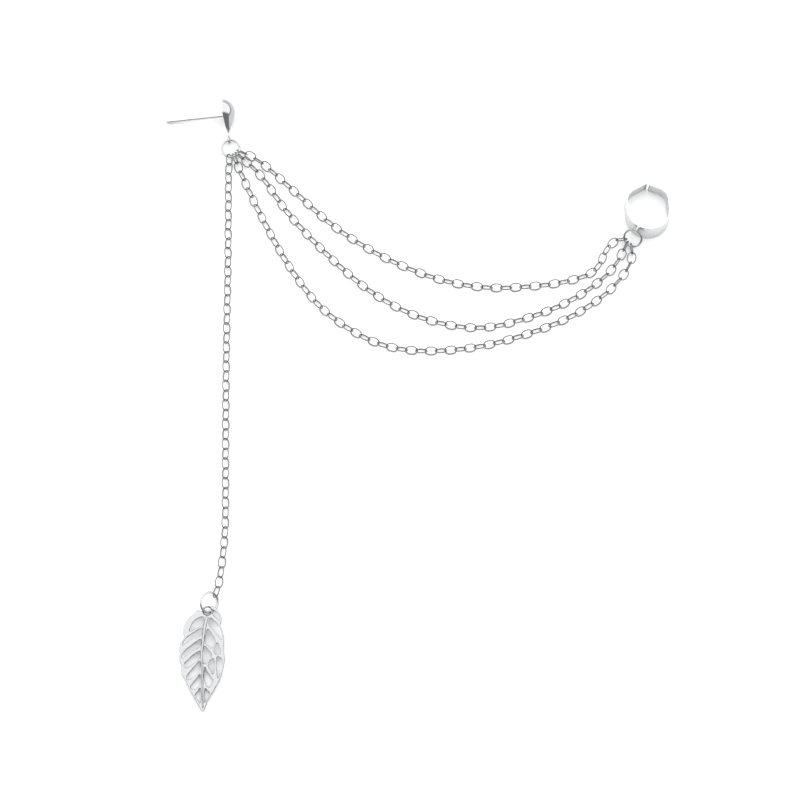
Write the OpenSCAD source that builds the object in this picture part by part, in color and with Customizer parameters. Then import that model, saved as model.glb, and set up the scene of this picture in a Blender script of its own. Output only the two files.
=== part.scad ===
// Ear chain earring, laid out flat: a drop-shaped stud, three swagged chains that run to an
// ear cuff, and a long straight chain that carries a pierced leaf.
// Millimetres, Z up, the surface that it lies on is z = 0.

/* [Stud] */
// Length of the ear post, from the back of the head to its rounded end
post_len = 12.3; // [10:0.1:13]
// Diameter of the ear post
post_d = 0.8; // [0.7:0.05:1]
// Diameter of the round part of the head, which is cut flat at the back
head_d = 5.2; // [4.4:0.1:6]
// How far the middle of the round part lies behind the flat back
head_sink = 0.6; // [0.2:0.05:0.8]
// Height of the middle of the round part above the post
head_rise = 0.8; // [0.4:0.1:1.2]
// Distance from the middle of the round part down to the blunt tip
head_taper = 3.6; // [3.2:0.1:4.2]
// Diameter of the blunt tip
head_tip_d = 0.9; // [0.7:0.05:1.2]
// How far the tip stands forward of the middle of the round part
head_tip_lift = 0.9; // [0.7:0.05:1.3]
// Diameter of the neck between the tip and the eye
neck_d = 0.36; // [0.3:0.02:0.38]
// Distance from the post down to the middle of the eye
stud_eye_drop = 5; // [4.6:0.1:5.6]
// Diameter of the hole in the stud's eye
stud_eye_hole = 0.86; // [0.84:0.02:1.2]
// Wire diameter of the stud's eye
stud_eye_wire = 0.4; // [0.38:0.02:0.6]

/* [Jump rings] */
// Outer diameter of the rings at the stud and at the cuff
ring_d = 4; // [3.8:0.1:5]
// Outer diameter of the ring that carries the leaf
leaf_ring_d = 4.3; // [4:0.1:5]
// Wire diameter of the jump rings
ring_wire = 0.45; // [0.35:0.01:0.48]
// Width of the cut where a ring is opened and closed
ring_cut = 0.12; // [0.05:0.01:0.3]

/* [Chain] */
// Distance from one link to the next along a pulled chain
link_pitch = 1.96; // [1.8:0.02:2.2]
// Width of a link
link_w = 1.95; // [1.8:0.05:2.1]
// Wire diameter of a link
link_wire = 0.26; // [0.2:0.01:0.3]
// Space left between two links, and between a link and a ring
link_gap = 0.12; // [0.1:0.01:0.16]

/* [Leaf] */
// Length of the leaf, from its eyelet to its tip
leaf_len = 19; // [16:0.1:24]
// Width of the leaf
leaf_w = 8.55; // [7:0.05:11]
// Thickness of the leaf's plate
leaf_t = 0.6; // [0.4:0.05:0.8]
// How far the midrib is raised above the plate
midrib_rise = 0.25; // [0.15:0.05:0.4]
// Width of the midrib at its top
midrib_w = 0.5; // [0.35:0.05:0.7]
// Diameter of the hole in the leaf's eyelet
leaf_eye_hole = 1.4; // [1.35:0.05:1.6]
// Wire diameter of the leaf's eyelet
leaf_eye_wire = 0.36; // [0.3:0.02:0.5]

/* [Ear cuff] */
// Inside diameter of the round part of the cuff
cuff_bore_d = 7.9; // [7:0.1:10]
// Thickness of the band
cuff_wall = 0.45; // [0.35:0.05:0.7]
// Height of the band where the chains hang
cuff_tall = 4.8; // [4.2:0.1:6]
// Height of the band at its two open ends
cuff_low = 2.6; // [2:0.1:4]
// Length of the straight sides of the cuff
cuff_side = 2.25; // [1:0.05:3]
// Outer radius of the two shoulders beside the opening
cuff_shoulder_r = 3; // [2:0.1:3.4]
// Slope of each end where the two meet at the opening
cuff_flat_angle = 26; // [12:1:34]
// Width of the opening between the two ends
cuff_opening = 0.35; // [0.2:0.05:1]
// How far the middle of the opening lies beside the peak
cuff_opening_off = 0.4; // [0:0.05:0.8]
// Inside diameter of the loop that is soldered on the band
cuff_eye_hole = 1.6; // [1.5:0.05:1.8]
// Wire diameter of the loop that is soldered on the band
cuff_eye_wire = 0.4; // [0.36:0.02:0.6]

/* [Hidden] */
metal = "Silver";

// Places on the surface, measured from the middle of the laid-out earring
post_root_at = [-38.25, 57.6];
leaf_ring_at = [-39.6, -40.5];
cuff_at = [46.1, 37.1];

// Turns about Z of the pieces as they lie, and where the rings are cut
stud_yaw = 3;
leaf_yaw = 0.3;
cuff_yaw = 3;
stud_ring_cut_at = 8;
leaf_ring_cut_at = 12;
cuff_ring_cut_at = 110;

// Chains: name, angles round the two rings where it hangs, rolls of its first link, of its body
// and of its last link, and chosen points [x, y, lift above its resting height] on the way
START_ANGLE = 1;
END_ANGLE = 2;
FIRST_ROLL = 3;
BODY_ROLL = 4;
LAST_ROLL = 5;
POINTS = 6;
CHAINS = [
    ["drop", -98, 68, -55, -45, 50, [
        [-37.5, 44.2, 0.08], [-37.4, 36.2, 0.02], [-37.3, 26.2, 0], [-37.3, 9.2, 0],
        [-37.1, -10.8, 0], [-36.9, -25.8, 0.02], [-37.4, -32.8, 0.06], [-37.8, -36.3, 0.15]
    ]],
    ["top", -18, 220, -65, -50, -59, [
        [-31.1, 48.2, 0.1], [-25.1, 42.8, 0.03], [-17.1, 35.4, 0], [-9.1, 29.9, 0],
        [-1.1, 25.9, 0], [6.9, 23.2, 0], [14.9, 22.1, 0], [22.9, 22.4, 0.03],
        [28.9, 23.2, 0.03], [34.4, 24.9, 0.1], [36.5, 27.1, 0.3], [37.6, 29.6, 0.5],
        [39.3, 31.5, 0.7]
    ]],
    ["middle", -42, 252, -65, -50, -77, [
        [-31.1, 45.4, 0.1], [-25.1, 37, 0.03], [-17.1, 28.4, 0], [-9.1, 21.4, 0],
        [-1.1, 16.8, 0], [6.9, 14.4, 0], [13.9, 14, 0], [20.9, 15.6, 0],
        [27.9, 18.2, 0], [33.9, 21.6, 0.07], [38.1, 25.1, 0.15], [40.5, 28.4, 0.35]
    ]],
    ["bottom", -67, 284, -65, -50, -88, [
        [-34.6, 44.9, 0.1], [-30.6, 36.4, 0.03], [-25.1, 26.4, 0], [-19.1, 18.4, 0],
        [-12.1, 13, 0], [-5.1, 10, 0], [2.9, 9.2, 0], [12.9, 10.2, 0], [22.9, 13, 0],
        [30.9, 16.4, 0.02], [36.9, 20.4, 0.12], [40.9, 24.5, 0.22], [42.8, 28.1, 0.3]
    ]]
];

// Number of links over which a chain twists from its body's roll to the roll at its end
twist_links = 8;

// Smoothness of the round parts
$fn = 48;
link_fn = 20;

// Bend radius of a link's wire, and half of the straight stretch between its two bends
link_len = link_pitch + 2 * link_wire + link_gap;
bend_r = (link_w - link_wire) / 2;
link_half_straight = (link_len - link_w) / 2;

// Radius of a ring's wire line
function wire_line(d) = (d - ring_wire) / 2;

// Turns a vector by the angles of a rotate() call: first about X, then Y, then Z
function turn_x(v, a) = [v.x, v.y * cos(a) - v.z * sin(a), v.y * sin(a) + v.z * cos(a)];
function turn_y(v, a) = [v.x * cos(a) + v.z * sin(a), v.y, v.z * cos(a) - v.x * sin(a)];
function turn_z(v, a) = [v.x * cos(a) - v.y * sin(a), v.x * sin(a) + v.y * cos(a), v.z];
function turned(v, angles) = turn_z(turn_y(turn_x(v, angles[0]), angles[1]), angles[2]);

// The stud lies on the rim of its head, the end of its post and its ring
head_r = head_d / 2;
swag_rest = rest_height(chain_row("top")[FIRST_ROLL]);
head_rim = sqrt(head_r * head_r - head_sink * head_sink);
neck_x = head_tip_lift - head_sink;
function stud_roll_at(tilt) =
    asin((head_rim + neck_x * tan(tilt) - swag_rest / cos(tilt)) / (head_rise + stud_eye_drop));
function stud_tilt_at(roll) =
    atan((head_rim - head_rise * sin(roll) - post_d / 2) / (post_len - post_d / 2));
stud_roll = stud_roll_at(stud_tilt_at(stud_roll_at(0)));
stud_tilt = stud_tilt_at(stud_roll);
stud_z = (head_rim - head_rise * sin(stud_roll)) * cos(stud_tilt);
stud_turn = [stud_roll, -stud_tilt, stud_yaw];
stud_at = [post_root_at.x, post_root_at.y, stud_z];
stud_eye_line = (stud_eye_hole + stud_eye_wire) / 2;
stud_eye_at = stud_at + turned([neck_x, -stud_eye_drop, 0], stud_turn);

// The stud's ring lies level, with its wire in the stud's eye
stud_ring_from_eye = -80;
stud_ring_at = stud_eye_at + wire_line(ring_d) * [cos(stud_ring_from_eye), sin(stud_ring_from_eye), 0];

// The leaf's ring leans on its right side, so that its wire passes through the eyelet
leaf_ring_lean = 40;
leaf_ring_z = wire_line(leaf_ring_d) * sin(leaf_ring_lean) + ring_wire / 2;
leaf_ring_turn = [0, leaf_ring_lean, -18];
leaf_ring_centre = [leaf_ring_at.x, leaf_ring_at.y, leaf_ring_z];
leaf_hang_angle = -80;
leaf_slack_share = 0.5;
leaf_slack = [0, leaf_slack_share * (leaf_eye_hole - ring_wire) / 2, 0];
leaf_at = on_ring(leaf_ring_centre, leaf_ring_d, leaf_ring_turn, leaf_hang_angle) + leaf_slack;
leaf_pitch = asin((leaf_at.z - leaf_t / 2) / leaf_len);
leaf_turn = [leaf_pitch, 0, leaf_yaw];

// The cuff lies on its lower rim, so the taper of the band tips its axis
cuff_in = cuff_bore_d / 2;
cuff_out = cuff_in + cuff_wall;
cuff_shoulder_x = cuff_out - cuff_shoulder_r;
cuff_peak = cuff_side
    + (cuff_shoulder_r + cuff_shoulder_x * sin(cuff_flat_angle)) / cos(cuff_flat_angle);
cuff_slope = (cuff_low - cuff_tall) / (cuff_peak + cuff_out);
cuff_mid_tall = cuff_tall + cuff_slope * cuff_out;
cuff_tip = atan(-cuff_slope / 2);
cuff_z = cuff_mid_tall / 2 * cos(cuff_tip);
cuff_turn = [-cuff_tip, 0, cuff_yaw];
cuff_centre = [cuff_at.x, cuff_at.y, cuff_z];

// The cuff's ring hangs in a loop that stands upright on the band, and leans down from it
cuff_ring_lean = 42;
cuff_eye_angle = -124;
cuff_eye_rise = 1;
cuff_eye_sink = 0.15;
cuff_ring_off = 0.2;
cuff_ring_turn = [cuff_ring_lean, 0, cuff_yaw + cuff_eye_angle + 90];
cuff_eye_line = (cuff_eye_hole + cuff_eye_wire) / 2;
cuff_eye_half = 90 + asin(cuff_eye_sink / cuff_eye_line);
cuff_eye_reach = cuff_out + cuff_ring_off + ring_wire / 2;
cuff_eye_way = [cos(cuff_eye_angle), sin(cuff_eye_angle)];
cuff_eye_end = [cuff_eye_reach * cuff_eye_way.x, cuff_eye_reach * cuff_eye_way.y, cuff_eye_rise];
cuff_ring_end = cuff_centre + turned(cuff_eye_end, cuff_turn);
cuff_ring_at = cuff_ring_end - wire_line(ring_d) * turned([0, 1, 0], cuff_ring_turn);

// Point of a ring's wire line at an angle round the ring, and the joint of a link that comes
// from a chain's nearest chosen point and holds the wire there
ring_slack = 0.05;
joint_past_wire = (ring_wire + link_gap) / 2 + ring_slack;
function on_ring(centre, d, angles, a) = centre + wire_line(d) * turned([cos(a), sin(a), 0], angles);
function past_wire(at, from) = at + joint_past_wire * (at - from) / norm(at - from);

// A chain's points: its joint in one ring, its chosen points at a resting height, and its
// joint in the other ring
function chain_row(name) = CHAINS[search([name], CHAINS)[0]];
function rest_height(roll) = bend_r * max(abs(sin(roll)), abs(cos(roll))) + link_wire / 2;
function laid(row) = [for (p = row[POINTS]) [p.x, p.y, p.z + rest_height(row[BODY_ROLL])]];
function route(row, end_at) =
    let (on_way = laid(row), start_at = on_ring(stud_ring_at, ring_d, [0, 0, 0], row[START_ANGLE]))
    concat([past_wire(start_at, on_way[0])], on_way, [past_wire(end_at, on_way[len(on_way) - 1])]);
function at_cuff(row) = on_ring(cuff_ring_at, ring_d, cuff_ring_turn, row[END_ANGLE]);
function at_leaf(row) = on_ring(leaf_ring_centre, leaf_ring_d, leaf_ring_turn, row[END_ANGLE]);

// Smooth curve through points: each span is a cubic whose ends lean along the points beside it
span_steps = 16;
function lean(p, i) = (p[min(i + 1, len(p) - 1)] - p[max(i - 1, 0)]) / 2;
function span_point(p, i, t) =
    p[i] * (1 + t * t * (2 * t - 3)) + p[i + 1] * t * t * (3 - 2 * t)
    + lean(p, i) * t * (1 - t) * (1 - t) + lean(p, i + 1) * t * t * (t - 1);
function curve(p) = concat(
    [for (i = [0 : len(p) - 2], s = [0 : span_steps - 1]) span_point(p, i, s / span_steps)],
    [p[len(p) - 1]]
);

// Length along a curve up to each of its points, and the point at a given length
function running(c, i = 0, total = 0, out = []) =
    i == len(c) ? out
    : let (now = i == 0 ? 0 : total + norm(c[i] - c[i - 1]))
      running(c, i + 1, now, concat(out, [now]));
function step_before(sums, s, low, high) =
    high - low <= 1 ? low
    : let (mid = floor((low + high) / 2))
      sums[mid] <= s ? step_before(sums, s, mid, high) : step_before(sums, s, low, mid);
almost_all = 1 - 1e-9;
function at_length(c, sums, s) =
    let (i = step_before(sums, s, 0, len(c) - 1), t = (s - sums[i]) / (sums[i + 1] - sums[i]))
    c[i] * (1 - t) + c[i + 1] * t;

// Nearest equal roll, since a link looks the same after half a turn
function half_turn_near(a) = a - 180 * round(a / 180);

// One link along X: two bends of wire and two straight stretches between them
module link() {
    for (side = [-1, 1]) {
        translate([side * link_half_straight, 0, 0])
            rotate([0, 0, -90 * side])
                rotate_extrude(angle = 180, $fn = link_fn)
                    translate([bend_r, 0])
                        circle(d = link_wire, $fn = link_fn);
        translate([-link_half_straight, side * bend_r, 0])
            rotate([0, 90, 0])
                cylinder(d = link_wire, h = 2 * link_half_straight, $fn = link_fn);
    }
}

// Links at equal steps along a route, each turned a quarter from the one before
module chain(row, points) {
    c = curve(points);
    sums = running(c);
    total = sums[len(sums) - 1];
    count = ceil(total / link_pitch);
    last = count - 1;
    body = row[BODY_ROLL];
    start_twist = half_turn_near(row[FIRST_ROLL] - body);
    end_twist = half_turn_near(row[LAST_ROLL] - body - 90 * last);
    joints = [for (k = [0 : count]) at_length(c, sums, total * min(k / count, almost_all))];
    for (k = [0 : last]) {
        along = joints[k + 1] - joints[k];
        flat = norm([along.x, along.y]);
        twist = start_twist * max(0, 1 - k / twist_links)
            + end_twist * max(0, 1 - (last - k) / twist_links);
        translate((joints[k] + joints[k + 1]) / 2)
            rotate([0, -atan2(along.z, flat), atan2(along.y, along.x)])
                rotate([body + 90 * k + twist, 0, 0])
                    link();
    }
}

// Round wire ring in the XY plane, cut through at one angle
module jump_ring(d, cut_at) {
    difference() {
        rotate_extrude()
            translate([wire_line(d), 0])
                circle(d = ring_wire);
        rotate([0, 0, cut_at])
            translate([wire_line(d), 0, 0])
                cube([2 * ring_wire, ring_cut, 2 * ring_wire], center = true);
    }
}

// Outline of the head as it is turned: round part, straight taper, blunt tip
arc_steps = 28;
tip_steps = 8;
function arc_from(start, end, steps, r) =
    [for (i = [0 : steps]) let (a = start + i * (end - start) / steps) r * [cos(a), sin(a)]];
module head_half_profile() {
    tip_r = head_tip_d / 2;
    drop = norm([head_taper, head_tip_lift]);
    lean_in = asin((head_r - tip_r) / drop);
    round_part = arc_from(90, -lean_in, arc_steps, head_r);
    tip = arc_from(-lean_in, -90, tip_steps, tip_r);
    polygon(concat(round_part, [for (p = tip) p - [0, drop]]));
}

module ear_stud() {
    reach = head_d + head_taper;
    color(metal)
        translate(stud_at)
            rotate(stud_turn) {
                // Head, cut flat at the back
                intersection() {
                    translate([-head_sink, head_rise, 0])
                        rotate([0, 0, atan2(head_tip_lift, head_taper)])
                            rotate([-90, 0, 0])
                                rotate_extrude()
                                    head_half_profile();
                    translate([0, -reach, -reach])
                        cube(2 * reach);
                }
                // Post with a rounded end
                translate([-post_len + post_d / 2, 0, 0])
                    rotate([0, 90, 0])
                        cylinder(d = post_d, h = post_len);
                translate([-post_len + post_d / 2, 0, 0])
                    sphere(d = post_d);
                // Neck and eye
                translate([neck_x, -stud_eye_drop + stud_eye_line, 0])
                    rotate([-90, 0, 0])
                        cylinder(d = neck_d, h = stud_eye_drop - stud_eye_line + head_rise - head_taper);
                translate([neck_x, -stud_eye_drop, 0])
                    rotate([0, 90, 0])
                        rotate_extrude()
                            translate([stud_eye_line, 0])
                                circle(d = stud_eye_wire);
            }
}

module stud_ring() {
    color(metal)
        translate(stud_ring_at)
            jump_ring(ring_d, stud_ring_cut_at);
}

module drop_chain() {
    color(metal)
        chain(chain_row("drop"), route(chain_row("drop"), at_leaf(chain_row("drop"))));
}

module leaf_ring() {
    color(metal)
        translate(leaf_ring_centre)
            rotate(leaf_ring_turn)
                jump_ring(leaf_ring_d, leaf_ring_cut_at);
}

// The leaf's drawing: shares of its width across from the midrib, shares of its length down
LEAF_EYE_ACROSS = 0.066;
LEAF_EDGE = [
    [0.1, -0.05], [-0.04, 0], [-0.15, -0.01], [-0.25, 0.03], [-0.35, 0.07], [-0.42, 0.12],
    [-0.46, 0.17], [-0.455, 0.235], [-0.43, 0.252], [-0.5, 0.3], [-0.545, 0.36], [-0.54, 0.405],
    [-0.53, 0.425], [-0.545, 0.46], [-0.535, 0.5], [-0.49, 0.545], [-0.47, 0.56], [-0.5, 0.58],
    [-0.48, 0.635], [-0.42, 0.68], [-0.38, 0.71], [-0.33, 0.76], [-0.28, 0.805], [-0.215, 0.856],
    [-0.15, 0.91], [-0.075, 0.965], [-0.005, 1], [0.02, 0.98], [0.066, 0.92], [0.13, 0.86],
    [0.215, 0.8], [0.28, 0.745], [0.35, 0.69], [0.39, 0.64], [0.43, 0.575], [0.455, 0.51],
    [0.455, 0.46], [0.435, 0.405], [0.43, 0.345], [0.445, 0.287], [0.425, 0.22], [0.38, 0.17],
    [0.35, 0.137], [0.38, 0.11], [0.38, 0.065], [0.34, 0.02], [0.28, -0.016], [0.2, -0.046]
];
LEAF_GAPS = [
    // Left of the midrib, from the eyelet down
    [[-0.01, 0.065], [-0.1, 0.065], [-0.23, 0.1], [-0.31, 0.16], [-0.33, 0.205], [-0.18, 0.17],
     [-0.025, 0.14]],
    [[-0.04, 0.17], [-0.18, 0.2], [-0.34, 0.245], [-0.45, 0.298], [-0.48, 0.345], [-0.38, 0.31],
     [-0.23, 0.27], [-0.065, 0.24]],
    [[-0.07, 0.28], [-0.23, 0.325], [-0.4, 0.385], [-0.49, 0.435], [-0.485, 0.475], [-0.35, 0.43],
     [-0.23, 0.39], [-0.09, 0.355]],
    [[-0.09, 0.4], [-0.23, 0.435], [-0.36, 0.49], [-0.44, 0.53], [-0.4, 0.57], [-0.25, 0.53],
     [-0.1, 0.47]],
    [[-0.09, 0.5], [-0.24, 0.57], [-0.38, 0.65], [-0.355, 0.685], [-0.23, 0.66], [-0.09, 0.59]],
    [[-0.075, 0.63], [-0.19, 0.69], [-0.29, 0.75], [-0.26, 0.78], [-0.17, 0.775], [-0.075, 0.73]],
    [[-0.07, 0.77], [-0.14, 0.805], [-0.195, 0.845], [-0.14, 0.88], [-0.065, 0.915]],
    // Right of the midrib, from the eyelet down
    [[0.165, -0.015], [0.26, 0.01], [0.335, 0.055], [0.335, 0.1], [0.26, 0.07], [0.175, 0.03]],
    [[0.13, 0.07], [0.25, 0.11], [0.345, 0.17], [0.395, 0.235], [0.395, 0.29], [0.3, 0.24],
     [0.2, 0.19], [0.1, 0.14]],
    [[0.08, 0.18], [0.18, 0.235], [0.256, 0.3], [0.23, 0.346], [0.165, 0.375], [0.08, 0.346],
     [0.025, 0.316], [0.033, 0.24]],
    [[0.016, 0.35], [0.1, 0.39], [0.18, 0.44], [0.13, 0.486], [0.066, 0.523], [-0.01, 0.523],
     [-0.03, 0.457], [-0.025, 0.4]],
    [[0.29, 0.32], [0.345, 0.36], [0.37, 0.42], [0.3, 0.44], [0.23, 0.42], [0.225, 0.38]],
    [[0.2, 0.47], [0.24, 0.523], [0.24, 0.58], [0.2, 0.634], [0.13, 0.58], [0.09, 0.54]],
    [[0.28, 0.465], [0.37, 0.468], [0.41, 0.5], [0.4, 0.57], [0.36, 0.634], [0.31, 0.675],
     [0.285, 0.58]],
    [[0.02, 0.556], [0.08, 0.605], [0.17, 0.664], [0.21, 0.7], [0.17, 0.738], [0.124, 0.765],
     [0.066, 0.745], [0.016, 0.693], [0.005, 0.627]],
    [[0.03, 0.77], [0.09, 0.795], [0.135, 0.82], [0.09, 0.865], [0.025, 0.915], [0.013, 0.85]]
];
MIDRIB = [
    [0.066, 0.06], [0.03, 0.12], [0, 0.2], [-0.03, 0.33], [-0.05, 0.44], [-0.035, 0.56],
    [-0.025, 0.7], [-0.025, 0.85], [-0.01, 0.96]
];

function leaf_point(p) = [(p[0] - LEAF_EYE_ACROSS) * leaf_w, -p[1] * leaf_len];

// Closed smooth outline through points that go round once
outline_steps = 3;
function ring_span(p, i, t) =
    let (n = len(p), a = p[(i + n - 1) % n], b = p[i], c = p[(i + 1) % n], d = p[(i + 2) % n])
    b * (1 + t * t * (2 * t - 3)) + c * t * t * (3 - 2 * t)
    + (c - a) / 2 * t * (1 - t) * (1 - t) + (d - b) / 2 * t * t * (t - 1);
function smooth_outline(p) =
    [for (i = [0 : len(p) - 1], s = [0 : outline_steps - 1]) ring_span(p, i, s / outline_steps)];

// Strip along a line of points, narrower towards the end
midrib_narrowing = 0.7;
function strip(p, w) =
    let (
        c = curve([for (q = p) [q.x, q.y, 0]]),
        n = len(c) - 1,
        side = [for (i = [0 : n]) let (d = c[min(i + 1, n)] - c[max(i - 1, 0)]) [-d.y, d.x] / norm(d)],
        half = [for (i = [0 : n]) w / 2 * (1 - midrib_narrowing * i / n)],
        step = span_steps / 4
    )
    concat(
        [for (i = [0 : step : n]) [c[i].x, c[i].y] + side[i] * half[i]],
        [for (i = [n : -step : 0]) [c[i].x, c[i].y] - side[i] * half[i]]
    );

module leaf_pendant() {
    eye_line = (leaf_eye_hole + leaf_eye_wire) / 2;
    color(metal)
        translate(leaf_at)
            rotate(leaf_turn) {
                difference() {
                    union() {
                        translate([0, 0, -leaf_t / 2])
                            linear_extrude(leaf_t)
                                polygon(smooth_outline([for (p = LEAF_EDGE) leaf_point(p)]));
                        linear_extrude(leaf_t / 2 + midrib_rise)
                            polygon(strip([for (p = MIDRIB) leaf_point(p)], midrib_w));
                    }
                    for (gap = LEAF_GAPS)
                        translate([0, 0, -leaf_t])
                            linear_extrude(2 * leaf_t + midrib_rise)
                                polygon(smooth_outline([for (p = gap) leaf_point(p)]));
                    // Hole that the eyelet's wire fills to its own inside diameter
                    translate([0, 0, -leaf_t])
                        cylinder(r = eye_line, h = 2 * leaf_t + midrib_rise);
                }
                rotate_extrude()
                    translate([eye_line, 0])
                        circle(d = leaf_eye_wire);
            }
}

module swag(name) {
    row = chain_row(name);
    chain(row, route(row, at_cuff(row)));
}

module swag_chain_top() {
    color(metal)
        swag("top");
}

module swag_chain_middle() {
    color(metal)
        swag("middle");
}

module swag_chain_bottom() {
    color(metal)
        swag("bottom");
}

module cuff_ring() {
    color(metal)
        translate(cuff_ring_at)
            rotate(cuff_ring_turn)
                jump_ring(ring_d, cuff_ring_cut_at);
}

// Outline of the cuff at a depth below its outer face: half round, straight sides, round
// shoulders and two flats that meet at a slight peak
module cuff_outline(depth) {
    shoulder = cuff_shoulder_r - depth;
    lean = [sin(cuff_flat_angle), cos(cuff_flat_angle)];
    peak = cuff_peak - depth / lean.y;
    circle(cuff_out - depth);
    translate([depth - cuff_out, 0])
        square([2 * (cuff_out - depth), cuff_side]);
    for (side = [-1, 1])
        translate([side * cuff_shoulder_x, cuff_side])
            circle(shoulder);
    polygon([
        [-cuff_shoulder_x, cuff_side], [cuff_shoulder_x, cuff_side],
        [cuff_shoulder_x + shoulder * lean.x, cuff_side + shoulder * lean.y], [0, peak],
        [-cuff_shoulder_x - shoulder * lean.x, cuff_side + shoulder * lean.y]
    ]);
}

module ear_cuff() {
    far = 4 * cuff_peak;
    color(metal)
        translate(cuff_centre)
            rotate(cuff_turn) {
                difference() {
                    linear_extrude(2 * cuff_tall, center = true)
                        difference() {
                            cuff_outline(0);
                            cuff_outline(cuff_wall);
                            translate([cuff_opening_off - cuff_opening / 2, 0])
                                square([cuff_opening, 2 * cuff_peak]);
                        }
                    for (side = [-1, 1])
                        translate([0, 0, side * cuff_mid_tall / 2])
                            rotate([side * atan(cuff_slope / 2), 0, 0])
                                translate([-far / 2, -far / 2, side > 0 ? 0 : -far])
                                    cube(far);
                }
                // Soldered loop, whose ends go into the band
                translate([cuff_out * cuff_eye_way.x, cuff_out * cuff_eye_way.y, cuff_eye_rise])
                    rotate([90, 0, cuff_eye_angle])
                        rotate_extrude(start = -cuff_eye_half, angle = 2 * cuff_eye_half)
                            translate([cuff_eye_line, 0])
                                circle(d = cuff_eye_wire);
            }
}

ear_stud();
stud_ring();
drop_chain();
leaf_ring();
leaf_pendant();
swag_chain_top();
swag_chain_middle();
swag_chain_bottom();
cuff_ring();
ear_cuff();
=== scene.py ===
"""Ear chain earring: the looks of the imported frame, in plated metal on a pale floor."""

import logging
import math
from dataclasses import dataclass
from enum import Enum
from typing import Any

import bpy
import bmesh
import numpy as np
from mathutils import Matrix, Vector


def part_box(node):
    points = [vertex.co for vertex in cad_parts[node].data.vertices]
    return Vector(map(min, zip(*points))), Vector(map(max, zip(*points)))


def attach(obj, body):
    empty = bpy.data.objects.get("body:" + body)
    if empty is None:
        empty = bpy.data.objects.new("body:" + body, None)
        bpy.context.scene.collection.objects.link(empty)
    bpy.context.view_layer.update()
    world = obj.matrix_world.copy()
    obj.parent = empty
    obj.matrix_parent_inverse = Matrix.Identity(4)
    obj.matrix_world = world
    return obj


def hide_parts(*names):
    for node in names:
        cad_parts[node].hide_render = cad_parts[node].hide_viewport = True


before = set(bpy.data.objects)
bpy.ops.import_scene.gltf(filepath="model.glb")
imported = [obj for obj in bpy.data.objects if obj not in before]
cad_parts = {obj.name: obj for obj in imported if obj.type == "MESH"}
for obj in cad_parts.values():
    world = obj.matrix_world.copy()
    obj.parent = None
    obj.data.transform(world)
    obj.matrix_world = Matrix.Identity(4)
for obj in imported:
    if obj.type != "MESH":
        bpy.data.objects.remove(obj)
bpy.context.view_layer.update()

LOG = logging.getLogger("ear_chain")
MM = 0.001  # metres
WELD = 1e-7  # metres; closer points are one point
SAME_DECIMALS = 4  # of a millimetre; a CAD node's points that agree so far are one point
TINY = 1e-9  # stands in for a length of zero where a length divides
PAINTED_SHADE = "painted_wall_shade"  # name of the attribute that is 1 on steep walls, where painted shade is mixed in
NOISE_SPAN = (0.3, 0.7)  # nearly all of a noise texture's values lie between these
EDGE_BEND = (0, 35, 65, 90)  # degrees; steps of the quarter circle round a wire's cut edge
FULL_TURN = 2 * math.pi
ALONG_X = np.array([1.0, 0.0, 0.0])
ALONG_Y = np.array([0.0, 1.0, 0.0])
UP = np.array([0.0, 0.0, 1.0])

Shape = tuple[np.ndarray, np.ndarray]  # points in millimetres, n by 3, and quads, m by 4


# Colour and nodes


def to_linear(colour: str) -> tuple[float, float, float, float]:
    """Turn an sRGB hex colour into linear light.

    The sRGB curve is a straight line near black and a power above it.

    Args:
        colour: Six hex digits, with or without a leading hash.

    Returns:
        Linear red, green, blue and an alpha of one.
    """
    digits = colour.lstrip("#")
    shares = [int(digits[i : i + 2], 16) / 255 for i in (0, 2, 4)]
    red, green, blue = (
        s / 12.92 if s <= 0.04045 else ((s + 0.055) / 1.055) ** 2.4 for s in shares
    )
    return red, green, blue, 1.0


def add_node(
    tree: bpy.types.NodeTree, kind: str, settings: dict[str, Any], links: dict[str, Any]
) -> bpy.types.Node:
    """Add one shader node with its settings and its incoming links.

    Args:
        tree: The node tree that it goes into.
        kind: The node's Blender type, without its ShaderNode start.
        settings: Property names or input names, each with its value.
        links: Input names, each with the output socket that feeds it.

    Returns:
        The new node.
    """
    made = tree.nodes.new("ShaderNode" + kind)
    for key, value in settings.items():
        if key in made.inputs:
            made.inputs[key].default_value = value
        else:
            setattr(made, key, value)
    for key, socket in links.items():
        tree.links.new(socket, made.inputs[key])
    return made


# Places


def turn_matrix(angles: tuple[float, float, float]) -> np.ndarray:
    """Rotation about X, then Y, then Z, as the part's source turns a piece.

    Args:
        angles: The three angles in degrees.

    Returns:
        The 3 by 3 matrix, whose columns are the turned axes.
    """
    turns = [math.radians(angle) for angle in angles]
    (cx, sx), (cy, sy), (cz, sz) = ((math.cos(turn), math.sin(turn)) for turn in turns)
    about_x = np.array([[1, 0, 0], [0, cx, -sx], [0, sx, cx]])
    about_y = np.array([[cy, 0, sy], [0, 1, 0], [-sy, 0, cy]])
    about_z = np.array([[cz, -sz, 0], [sz, cz, 0], [0, 0, 1]])
    return about_z @ about_y @ about_x


@dataclass(frozen=True)
class Place:
    """Where a piece lies: the middle of its own frame in millimetres, and how it is turned."""

    middle: tuple[float, float, float]
    angles: tuple[float, float, float]

    def put(self, points: np.ndarray) -> np.ndarray:
        """Points of the piece's own frame, moved into the row's frame: turned, then shifted."""
        return points @ turn_matrix(self.angles).T + np.array(self.middle)


# Meshes


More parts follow.
